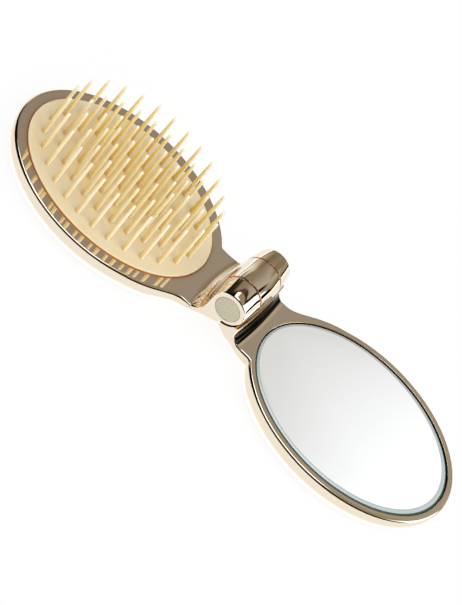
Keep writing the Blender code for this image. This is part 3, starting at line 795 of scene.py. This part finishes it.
# %% Painted amber light between the pins
WARM_BACK = 0.004  # the far rows stand closer together in the picture, so more amber there
low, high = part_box("bristle_pad")
from_middle = add_node(
    tree,
    "ShaderNodeVectorMath",
    {"operation": "SUBTRACT"},
    _0=place.outputs["Object"],
    _1=((low.x + high.x) / 2, WARM_BACK, FACE_Z),
)
as_share = add_node(
    tree,
    "ShaderNodeVectorMath",
    {"operation": "DIVIDE"},
    _0=from_middle.outputs[0],
    _1=((high.x - low.x) / 2, (high.y - low.y) / 2, 1.0),
)
out_from = add_node(tree, "ShaderNodeVectorMath", {"operation": "LENGTH"}, _0=as_share.outputs[0])
among_pins = add_node(
    tree,
    "ShaderNodeMapRange",
    Value=out_from.outputs["Value"],
    From_Min=0.30,
    From_Max=0.90,
    To_Min=0.75,
    To_Max=0.0,
)
# Painted light: the middle of the pad is mixed toward amber.
amber_lit = add_node(
    tree,
    "ShaderNodeMix",
    {"data_type": "RGBA"},
    _0=among_pins.outputs[0],
    _6=top.outputs["Color"],
    _7=linear("#f0d088"),
)
print("pad warmest", WARM_BACK * PER_MM, "mm behind its middle")

# %% Painted shade line laid over the pad, and its shader
ELASTOMER_DEPTH = 0.001
# Painted shade: the foot of the upright edge is mixed toward burnt orange.
skin = add_node(
    tree,
    "ShaderNodeMix",
    {"data_type": "RGBA"},
    _0=foot_shade_mask.outputs[0],
    _6=amber_lit.outputs[2],
    _7=linear("#da964a"),
)
shader = add_node(
    tree,
    "ShaderNodeBsdfPrincipled",
    Base_Color=skin.outputs[2],
    Roughness=0.42,
    IOR=1.5,
    Subsurface_Weight=0.25,
    Subsurface_Radius=(1.0, 0.7, 0.4),
    Subsurface_Scale=ELASTOMER_DEPTH,
)
add_node(tree, "ShaderNodeOutputMaterial", Surface=shader.outputs[0])
print("finish:", cream.name)

# %% [markdown]
# ## Mirror glass
# The mirror is float glass, silvered behind, with a narrow ground bevel. It could be modelled
# as clear glass over a metal sheet, but a neutral metal shows the same image and renders with
# less noise. The bevel is finely ground, so it looks pale blue grey and a little soft, and the
# cut edge of the glass shows its dark green body.

# %% Silvered glass
FLOAT_WAVE_MM = 16.0
FLOAT_HEIGHT = 0.00005

# Silver: a clean neutral mirror. Float glass waves very slowly, so the image hardly bends.
silver, tree = new_finish("silvered float glass")
place = add_node(tree, "ShaderNodeTexCoord")
wave = add_node(
    tree, "ShaderNodeTexNoise", Vector=place.outputs["Object"], Scale=PER_MM / FLOAT_WAVE_MM, Detail=0.0
)
ripple = add_node(
    tree, "ShaderNodeBump", Height=wave.outputs[0], Strength=0.02, Distance=FLOAT_HEIGHT
)
shader = add_node(
    tree,
    "ShaderNodeBsdfPrincipled",
    Base_Color=linear("#f6f8f7"),
    Metallic=1.0,
    Roughness=0.015,
    Normal=ripple.outputs[0],
)
add_node(tree, "ShaderNodeOutputMaterial", Surface=shader.outputs[0])
print("finish:", silver.name)

# %% Ground bevel and its arris
# Bevel: pale blue grey and soft. Real grinding marks of 0.05 mm are drawn ten times coarser.
# Arris: the line where bevel and face meet, a grey a little darker and glossier than the bevel.
GLASS_IOR = 1.52
GRIT_MM = 0.5
GROUND = (
    ("ground glass bevel", "#bccacd", 0.15, (0.15, 0.35)),
    ("rounded bevel arris", "#b0b4b7", 0.20, (0.10, 0.25)),
)
ground = []
for name, hex_code, silvering, softness in GROUND:
    finish, tree = new_finish(name)
    place = add_node(tree, "ShaderNodeTexCoord")
    grit = add_node(
        tree, "ShaderNodeTexNoise", Vector=place.outputs["Object"], Scale=PER_MM / GRIT_MM, Detail=1.0
    )
    soft = add_node(
        tree, "ShaderNodeMapRange", Value=grit.outputs[0], To_Min=softness[0], To_Max=softness[1]
    )
    shader = add_node(
        tree,
        "ShaderNodeBsdfPrincipled",
        Base_Color=linear(hex_code),
        Metallic=silvering,
        Roughness=soft.outputs[0],
        IOR=GLASS_IOR,
    )
    add_node(tree, "ShaderNodeOutputMaterial", Surface=shader.outputs[0])
    ground.append(finish)
bevelled, arris = ground
print("finishes:", bevelled.name, "and", arris.name)

# %% Cut edge
CUT_LOW, CUT_HIGH = 0.0054, 0.0071

# Cut edge: light that runs through the whole plate comes out dark green.
edge_green, tree = new_finish("cut glass edge")
place = add_node(tree, "ShaderNodeTexCoord")
height = add_node(tree, "ShaderNodeSeparateXYZ", _0=place.outputs["Object"])
depth = add_node(
    tree, "ShaderNodeMapRange", Value=height.outputs["Z"], From_Min=CUT_LOW, From_Max=CUT_HIGH
)
stops = (
    (0.0, linear("#0e1c12")),
    (1.0, linear("#2a4226")),
)
body = add_node(tree, "ShaderNodeValToRGB", None, stops, _0=depth.outputs[0])
shader = add_node(
    tree,
    "ShaderNodeBsdfPrincipled",
    Base_Color=body.outputs["Color"],
    Roughness=0.1,
    IOR=GLASS_IOR,
)
add_node(tree, "ShaderNodeOutputMaterial", Surface=shader.outputs[0])
print("finish:", edge_green.name)

# %% [markdown]
# ## Hinge finishes
# The two discs that close the barrel are a satin plastic in a pale grey green, moulded against
# a spark-eroded tool, whose grain is drawn coarser than it is so that it shows. The pin, its
# spring and the screws are turned steel with rings. The washers are white acetal, and a dark
# foam sheet holds the glass. A plain colour would do for what is hidden, but someone may take
# the hinge apart.

# %% Cap plastic
GRAIN_MM = 0.25
GRAIN_HEIGHT = 0.00005

# Satin plastic: a matt grey green disc that shows no image of the room.
satin, tree = new_finish("satin moulded plastic")
place = add_node(tree, "ShaderNodeTexCoord")
grain = add_node(
    tree, "ShaderNodeTexNoise", Vector=place.outputs["Object"], Scale=PER_MM / GRAIN_MM, Detail=1.0
)
stops = (
    (0.3, linear("#b3ae95")),
    (0.7, linear("#bab69f")),
)
tint = add_node(tree, "ShaderNodeValToRGB", None, stops, _0=grain.outputs[0])
rough = add_node(tree, "ShaderNodeBump", Height=grain.outputs[0], Strength=0.15, Distance=GRAIN_HEIGHT)
shader = add_node(
    tree,
    "ShaderNodeBsdfPrincipled",
    Base_Color=tint.outputs["Color"],
    Roughness=0.5,
    Normal=rough.outputs[0],
)
add_node(tree, "ShaderNodeOutputMaterial", Surface=shader.outputs[0])
print("finish:", satin.name)

# %% Turned steel
TOOL_MARK_MM = 1.25
WAVE_TURNS = 20 / math.tau  # waves in a unit, in a wave texture with a scale of 1

# Turned steel: a dull cold shine in rings round the pin's axis. Real tool marks of 0.1 mm are
# drawn coarser, so that they show.
steel, tree = new_finish("turned steel")
place = add_node(tree, "ShaderNodeTexCoord")
marks = add_node(
    tree,
    "ShaderNodeTexWave",
    {"bands_direction": "Y"},
    Vector=place.outputs["Object"],
    Scale=PER_MM / TOOL_MARK_MM / WAVE_TURNS,
    Distortion=1.0,
)
shine = add_node(tree, "ShaderNodeMapRange", Value=marks.outputs["Fac"], To_Min=0.22, To_Max=0.38)
shader = add_node(
    tree,
    "ShaderNodeBsdfPrincipled",
    Base_Color=linear("#b9b9bb"),
    Metallic=1.0,
    Roughness=shine.outputs[0],
)
add_node(tree, "ShaderNodeOutputMaterial", Surface=shader.outputs[0])
print("finish:", steel.name)

# %% Acetal
ACETAL_CLOUD_MM = 1.4

# Acetal: waxy off white, a little uneven.
acetal, tree = new_finish("white acetal")
place = add_node(tree, "ShaderNodeTexCoord")
cloud = add_node(
    tree,
    "ShaderNodeTexNoise",
    Vector=place.outputs["Object"],
    Scale=PER_MM / ACETAL_CLOUD_MM,
    Detail=2.0,
)
stops = (
    (0.3, linear("#d9d5c8")),
    (0.7, linear("#e4e1d6")),
)
tint = add_node(tree, "ShaderNodeValToRGB", None, stops, _0=cloud.outputs[0])
shader = add_node(
    tree,
    "ShaderNodeBsdfPrincipled",
    Base_Color=tint.outputs["Color"],
    Roughness=0.4,
    IOR=1.48,
)
add_node(tree, "ShaderNodeOutputMaterial", Surface=shader.outputs[0])
print("finish:", acetal.name)

# %% Adhesive foam
FOAM_CELL_MM = 0.33

# Foam: dark and fully matt. Real cells of 0.1 mm are drawn three times coarser.
foam, tree = new_finish("grey adhesive foam")
place = add_node(tree, "ShaderNodeTexCoord")
cells = add_node(
    tree, "ShaderNodeTexVoronoi", Vector=place.outputs["Object"], Scale=PER_MM / FOAM_CELL_MM
)
stops = (
    (0.0, linear("#2e2e2e")),
    (1.0, linear("#4a4a4a")),
)
tint = add_node(tree, "ShaderNodeValToRGB", None, stops, _0=cells.outputs["Distance"])
shader = add_node(
    tree, "ShaderNodeBsdfPrincipled", Base_Color=tint.outputs["Color"], Roughness=0.9
)
add_node(tree, "ShaderNodeOutputMaterial", Surface=shader.outputs[0])
print("finish:", foam.name)

# %% [markdown]
# ## Putting pieces in their place
# Each piece rides on one of the two bodies and stands in for a node of the imported model,
# which it hides. One function does this for every piece, so none is left
# behind when the hinge turns.

# %% Joining the bodies
bodies = {}
for body, members in frame["record"]["behaviour"]["bodies"].items():
    bodies.update({node: body for node in members})

# %% Placing one piece


def place_piece(name, mesh, node, finishes, sharp_degrees=30.0):
    """Links a mesh as a smooth shaded piece that rides with its node and replaces it."""
    mesh.shade_smooth()
    mesh.set_sharp_from_angle(angle=math.radians(sharp_degrees))
    for finish in finishes:
        mesh.materials.append(finish)
    obj = bpy.data.objects.new(name, mesh)
    bpy.context.scene.collection.objects.link(obj)
    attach(obj, bodies[node])
    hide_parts(node)
    return obj


def mesh_from(bm, name):
    """A mesh of what the bmesh holds. The bmesh is freed."""
    mesh = bpy.data.meshes.new(name)
    bm.to_mesh(mesh)
    bm.free()
    return mesh


# %% [markdown]
# ## Cases, plates and hinge hardware
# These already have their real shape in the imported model, so each is dressed as a copy. The
# copy is merged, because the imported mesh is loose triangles, and flat areas are joined to one
# face. Normals weighted by face size keep those flat areas flat in the mirror image, and the
# plating's own shader rounds the edges, where it catches light.

# %% Dressed copies
MERGE = 0.000002  # vertices nearer than this are one
FLAT_DEGREES = 0.05  # faces that meet at less are one flat area


def dressed(node, finish):
    """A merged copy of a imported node, in its place and with a finish."""
    mesh = nodes[node].data.copy()
    mesh.materials.clear()
    bm = bmesh.new()
    bm.from_mesh(mesh)
    bmesh.ops.remove_doubles(bm, verts=bm.verts, dist=MERGE)
    bmesh.ops.dissolve_limit(
        bm, angle_limit=math.radians(FLAT_DEGREES), verts=bm.verts, edges=bm.edges
    )
    bm.to_mesh(mesh)
    bm.free()
    obj = place_piece(node + "_dressed", mesh, node, [finish])
    weighted = obj.modifiers.new("face weighted normals", "WEIGHTED_NORMAL")
    weighted.keep_sharp = True


print("copies merge vertices within", MERGE * PER_MM, "mm")

# %% Each node and its finish
SCREWS = 4
DRESSED = (
    (gold, ("brush_frame", "mirror_frame", "brush_back_plate", "mirror_back_plate")),
    (steel, [f"pad_screw_{number + 1}" for number in range(SCREWS)]),
    (steel, ("hinge_pin", "pin_retainer", "spring_washer")),
    (acetal, ("friction_bush", "friction_washer_near", "friction_washer_far")),
    (foam, ("mirror_tape",)),
)
for finish, members in DRESSED:
    for node in members:
        dressed(node, finish)
    print(finish.name, "on", len(members), "nodes")

# %% [markdown]
# ## Pad
# The pad is an oval cushion with a soft edge, slightly dished in the middle. It could be
# sculpted, but an oval is a stretched circle. It is extruded to its thickness, bevelled round
# its top edge and then inset and lowered in rings, which gives the dish.

# %% Oval blocks


def top_face(bm):
    """The highest face of a bmesh."""
    return max(bm.faces, key=lambda face: face.calc_center_median().z)


def oval_block(low, high, top, segments, grow=0.0):
    """An upright oval block as a bmesh, as wide as a box and up to the height of its top."""
    bm = bmesh.new()
    bmesh.ops.create_circle(bm, cap_ends=True, segments=segments, radius=1.0)
    half_x, half_y = (high.x - low.x) / 2 + grow, (high.y - low.y) / 2 + grow
    bmesh.ops.scale(bm, verts=bm.verts, vec=(half_x, half_y, 1.0))
    bmesh.ops.translate(bm, verts=bm.verts, vec=((low.x + high.x) / 2, 0.0, low.z))
    grown = bmesh.ops.extrude_face_region(bm, geom=list(bm.faces))
    moved = [v for v in grown["geom"] if isinstance(v, bmesh.types.BMVert)]
    bmesh.ops.translate(bm, verts=moved, vec=(0.0, 0.0, top - low.z))
    bmesh.ops.recalc_face_normals(bm, faces=bm.faces)
    return bm


low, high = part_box("bristle_pad")
print("pad is", [round(v * PER_MM, 1) for v in high - low], "mm with its pins")

# %% Pad
PAD_TOP = 0.0082
PAD_EDGE = 0.00025
PAD_GROW = 0.00025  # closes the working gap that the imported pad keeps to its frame
PAD_SEGMENTS = 128
PAD_EDGE_STEPS = 4
PAD_RINGS = (  # the width of each ring of the dish, and how far it drops
    (0.0008, 0.00010),
    (0.0012, 0.00020),
    (0.0014, 0.00015),
    (0.0020, 0.00005),
)
bm = oval_block(low, high, PAD_TOP, PAD_SEGMENTS, PAD_GROW)
bmesh.ops.bevel(
    bm,
    geom=list(top_face(bm).edges),
    affect="EDGES",
    offset=PAD_EDGE,
    segments=PAD_EDGE_STEPS,
    profile=0.5,
    material=-1,
)
top = top_face(bm)
for width, drop in PAD_RINGS:
    bmesh.ops.inset_region(bm, faces=[top], thickness=width, depth=0.0)
    bmesh.ops.translate(bm, verts=top.verts, vec=(0.0, 0.0, -drop))
pad = place_piece("pad", mesh_from(bm, "pad"), "bristle_pad", [cream], sharp_degrees=60.0)
print("pad faces:", len(pad.data.polygons))

# %% [markdown]
# ## Pins
# Each pin is a round taper with a small fillet at its root and a domed tip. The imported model
# has them with eight sides, so only their places are read from it, at their tips. A cone with
# a sphere on it would have the size but a hard joint, so one pin is spun from its profile, and
# copies of it are moved to every place.

# %% Profiles and spun shapes


def arc(centre, radius, start, stop, steps):
    """Points of a profile on an arc, as (radius, height), between two angles in degrees."""
    angles = [math.radians(start + (stop - start) * k / steps) for k in range(steps + 1)]
    return [(centre[0] + radius * math.cos(a), centre[1] + radius * math.sin(a)) for a in angles]


def spun(profile, steps):
    """A closed shape turned round the Z axis from its (radius, height) profile."""
    bm = bmesh.new()
    verts = [bm.verts.new((r, 0.0, z)) for r, z in profile]
    edges = [bm.edges.new(pair) for pair in zip(verts, verts[1:])]
    bmesh.ops.spin(
        bm,
        geom=verts + edges,
        axis=(0, 0, 1),
        cent=(0, 0, 0),
        angle=math.tau,
        steps=steps,
        use_merge=True,
    )
    bmesh.ops.remove_doubles(bm, verts=bm.verts, dist=MERGE)
    bmesh.ops.recalc_face_normals(bm, faces=bm.faces)
    return bm


print("a quarter round in two steps:", [(round(r, 2), round(z, 2)) for r, z in arc((0, 0), 1, 0, 90, 2)])

# %% One pin
PIN_ROOT_R = 0.00084
PIN_TIP_R = 0.00050
PIN_FILLET = 0.00012
PIN_SUNK = 0.0004  # how far a pin goes on into the pad
PIN_STEPS = 16
FILLET_STEPS = 3
DOME_STEPS = 4
foot_r = PIN_ROOT_R + PIN_FILLET
profile = [(0.0, PIN_FOOT - PIN_SUNK), (foot_r, PIN_FOOT - PIN_SUNK)]
profile += arc((foot_r, PIN_FOOT + PIN_FILLET), PIN_FILLET, 270, 180, FILLET_STEPS)
profile += arc((0.0, PIN_TOP - PIN_TIP_R), PIN_TIP_R, 0, 90, DOME_STEPS)
bm = spun(profile, PIN_STEPS)
print("one pin has", len(bm.faces), "faces")

# %% All pins
PLACE_DIGITS = 5  # places are rounded to a hundredth of a millimetre
mesh = nodes["bristle_pad"].data
tips = {
    (round(v.co.x, PLACE_DIGITS), round(v.co.y, PLACE_DIGITS))
    for v in mesh.vertices
    if v.co.z > PIN_TOP - MERGE
}
one = list(bm.verts) + list(bm.edges) + list(bm.faces)
for x, y in sorted(tips):
    copy = bmesh.ops.duplicate(bm, geom=one)
    moved = [v for v in copy["geom"] if isinstance(v, bmesh.types.BMVert)]
    bmesh.ops.translate(bm, verts=moved, vec=(x, y, 0.0))
bmesh.ops.delete(bm, geom=[g for g in one if isinstance(g, bmesh.types.BMVert)], context="VERTS")
pins = place_piece("pins", mesh_from(bm, "pins"), "bristle_pad", [amber], sharp_degrees=50.0)
print("pins:", len(tips), "with", len(pins.data.polygons), "faces")

# %% [markdown]
# ## Mirror
# The glass is an oval plate whose top is inset three times and lifted by a quarter of a
# millimetre in all. The rings are the cut edge seen through the glass, the ground bevel and its
# arris. Each ring is also moved a little, because the bevel was ground wider at the far end.

# %% Glass
SILVER, BEVEL, ARRIS, CUT = range(4)
GLASS_RINGS = (  # the width of each ring, its rise, its shift in x and y, and its finish
    (0.00035, 0.00003, -0.00018, 0.00028, CUT),
    (0.00068, 0.00019, -0.00022, 0.0, BEVEL),
    (0.00045, 0.00003, -0.00015, 0.0, ARRIS),
)
GLASS_SEGMENTS = 144
low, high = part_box("mirror_glass")
shoulder = high.z - sum(rise for width, rise, x, y, finish in GLASS_RINGS)
bm = oval_block(low, high, shoulder, GLASS_SEGMENTS)
for face in bm.faces:
    face.material_index = SILVER if abs(face.normal.z) > 0.5 else CUT
top = top_face(bm)
for width, rise, x, y, finish in GLASS_RINGS:
    ring = bmesh.ops.inset_region(bm, faces=[top], thickness=width, depth=0.0)["faces"]
    bmesh.ops.translate(bm, verts=top.verts, vec=(x, y, rise))
    for face in ring:
        face.material_index = finish
finishes = [silver, bevelled, arris, edge_green]
glass = place_piece(
    "mirror_plate", mesh_from(bm, "mirror_plate"), "mirror_glass", finishes, sharp_degrees=5.0
)
used = [face.material_index for face in glass.data.polygons]
print("glass faces by finish:", [used.count(index) for index in range(len(finishes))])

# %% [markdown]
# A mirror lying on a table shows whatever hangs above it. In the photograph that is a pale
# card, grey on the left and white on the right. It could be one more row of the room, but the
# plating next to the glass would show it too. So the card is a lamp that lights the glass
# alone, hung where the camera's line of sight goes after it leaves the glass.

# %% Card over the glass
CARD_AWAY = 0.5  # from the middle of the glass
CARD_SIZE = 0.34
CARD_POWER = 0.36
centre = (low + high) / 2
sight = (camera.matrix_world.translation - centre).normalized()
bounce = Vector((-sight.x, -sight.y, sight.z))
card = area_lamp("card over the glass", centre + bounce * CARD_AWAY, centre, CARD_SIZE, CARD_POWER)
only_glass = bpy.data.collections.new("lit by the card")
only_glass.objects.link(glass)
card.light_linking.receiver_collection = only_glass
print("card at", [round(v, 3) for v in card.location])

# %% Card from grey to white
CARD_TINT = (0.82, 0.88, 0.95, 1.0)
CARD_GREY_X, CARD_WHITE_X = 0.008, 0.110
CARD_GREY, CARD_WHITE = 0.457, 0.89
card.data.use_nodes = True
tree = card.data.node_tree
tree.nodes.clear()
where = add_node(tree, "ShaderNodeNewGeometry")
across = add_node(tree, "ShaderNodeSeparateXYZ", _0=where.outputs["Position"])
slope = add_node(
    tree,
    "ShaderNodeMapRange",
    Value=across.outputs["X"],
    From_Min=CARD_GREY_X,
    From_Max=CARD_WHITE_X,
    To_Min=CARD_GREY,
    To_Max=CARD_WHITE,
)
light = add_node(tree, "ShaderNodeEmission", Color=CARD_TINT, Strength=slope.outputs[0])
add_node(tree, "ShaderNodeOutputLight", Surface=light.outputs[0])
print("card strength from", CARD_GREY, "to", CARD_WHITE)

# %% [markdown]
# ## Barrel caps
# A plastic disc closes each end of the barrel. It is turned from its profile: a flat face with
# a small gate mark in the middle and a softened rim. A bevelled cylinder would be as quick, but
# a profile holds the gate mark too. The near disc is what the camera sees.

# %% Caps
CAP_GROW = 0.00022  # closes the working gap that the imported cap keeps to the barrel
CAP_RIM = 0.00018
GATE_R = 0.00045
GATE_DEPTH = 0.00006
CAP_STEPS = 64
RIM_STEPS = 3
for node in ("pin_cap_near", "pin_cap_far"):
    low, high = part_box(node)
    cap_r = (high.x - low.x) / 2 + CAP_GROW
    thick = high.y - low.y
    gate = thick - GATE_DEPTH
    profile = [(0.0, gate), (GATE_R, gate), (GATE_R + GATE_DEPTH, thick)]
    profile += arc((cap_r - CAP_RIM, thick - CAP_RIM), CAP_RIM, 90, 0, RIM_STEPS)
    profile += [(cap_r, 0.0), (0.0, 0.0)]
    bm = spun(profile, CAP_STEPS)
    near = node == "pin_cap_near"
    tilt = Matrix.Rotation(math.radians(90.0 if near else -90.0), 4, "X")
    bmesh.ops.transform(bm, verts=bm.verts, matrix=tilt)
    inner = high.y if near else low.y
    bmesh.ops.translate(bm, verts=bm.verts, vec=(0.0, inner, (low.z + high.z) / 2))
    place_piece(node + "_disc", mesh_from(bm, node + "_disc"), node, [satin])
print("cap radius", round(cap_r * PER_MM, 2), "mm")
